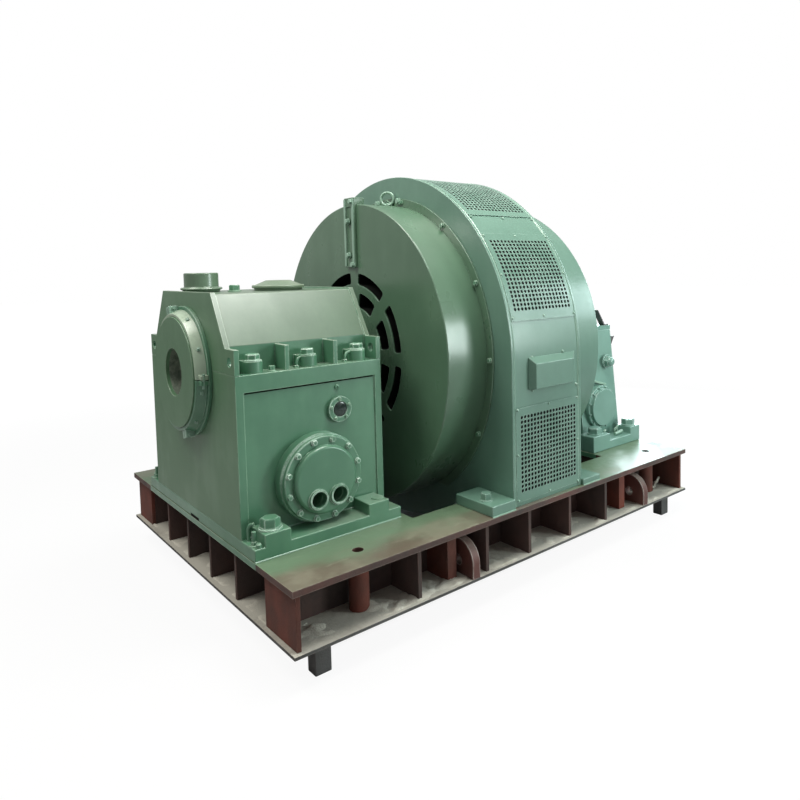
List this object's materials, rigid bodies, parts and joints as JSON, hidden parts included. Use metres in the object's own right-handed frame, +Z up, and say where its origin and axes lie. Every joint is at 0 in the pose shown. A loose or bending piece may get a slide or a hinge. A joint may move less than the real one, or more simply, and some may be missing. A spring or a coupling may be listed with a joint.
{
  "type": "hydroelectric generator",
  "caption": "Horizontal hydroelectric generator on a ribbed base frame: drum-shaped stator with perforated grilles between a large and a small pedestal bearing.",
  "frame": {"origin": "on the ground, at the middle of the machine's box", "axes": "+X along the shaft away from the thrust bearing, +Z up"},
  "size_m": [2.868, 2.116, 2.1758],
  "materials": {
    "green_enamel": "satin green machine enamel",
    "deck_enamel": "green enamel, dusty and worn",
    "red_oxide": "matt red oxide primer, dusty",
    "bare_steel": "machined steel",
    "grey_block": "grey packing block",
    "dark_bracket": "dark grey bracket"
  },
  "bodies": {
    "root": {"base_bottom_plate": "red_oxide", "base_side_webs": "red_oxide", "base_end_webs": "red_oxide", "base_cross_webs": "red_oxide", "base_side_ribs": "red_oxide", "base_end_ribs": "red_oxide", "base_corner_plates": "red_oxide", "lifting_lugs": "red_oxide", "lug_posts": "red_oxide", "anchor_tubes": "red_oxide", "base_top_plate": "deck_enamel", "packing_blocks": "grey_block", "thrust_foot": "green_enamel", "thrust_housing": "green_enamel", "thrust_cap": "green_enamel", "thrust_cap_bolts": "green_enamel", "seal_flange_ring": "green_enamel", "seal_ring_upper": "green_enamel", "seal_ring_lower": "green_enamel", "seal_disc": "green_enamel", "cooler_rings": "green_enamel", "cooler_covers": "green_enamel", "oil_gauges": "green_enamel", "breather": "green_enamel", "inspection_cover": "green_enamel", "front_drum": "green_enamel", "drum_joint_bar": "green_enamel", "drum_flange_rings": "green_enamel", "stator_plate_thrust_end": "green_enamel", "stator_casing": "green_enamel", "stator_plate_guide_end": "green_enamel", "top_grilles": "green_enamel", "upper_grilles": "green_enamel", "lower_grilles": "green_enamel", "terminal_boxes": "green_enamel", "stator_feet": "green_enamel", "rear_drum": "green_enamel", "foot_bolts": "green_enamel", "guide_foot": "green_enamel", "guide_housing": "green_enamel", "guide_cap": "green_enamel", "guide_side_covers": "green_enamel", "guide_plugs": "green_enamel", "shaft": "bare_steel", "sensor_brackets": "dark_bracket"}
  },
  "joints": []
}
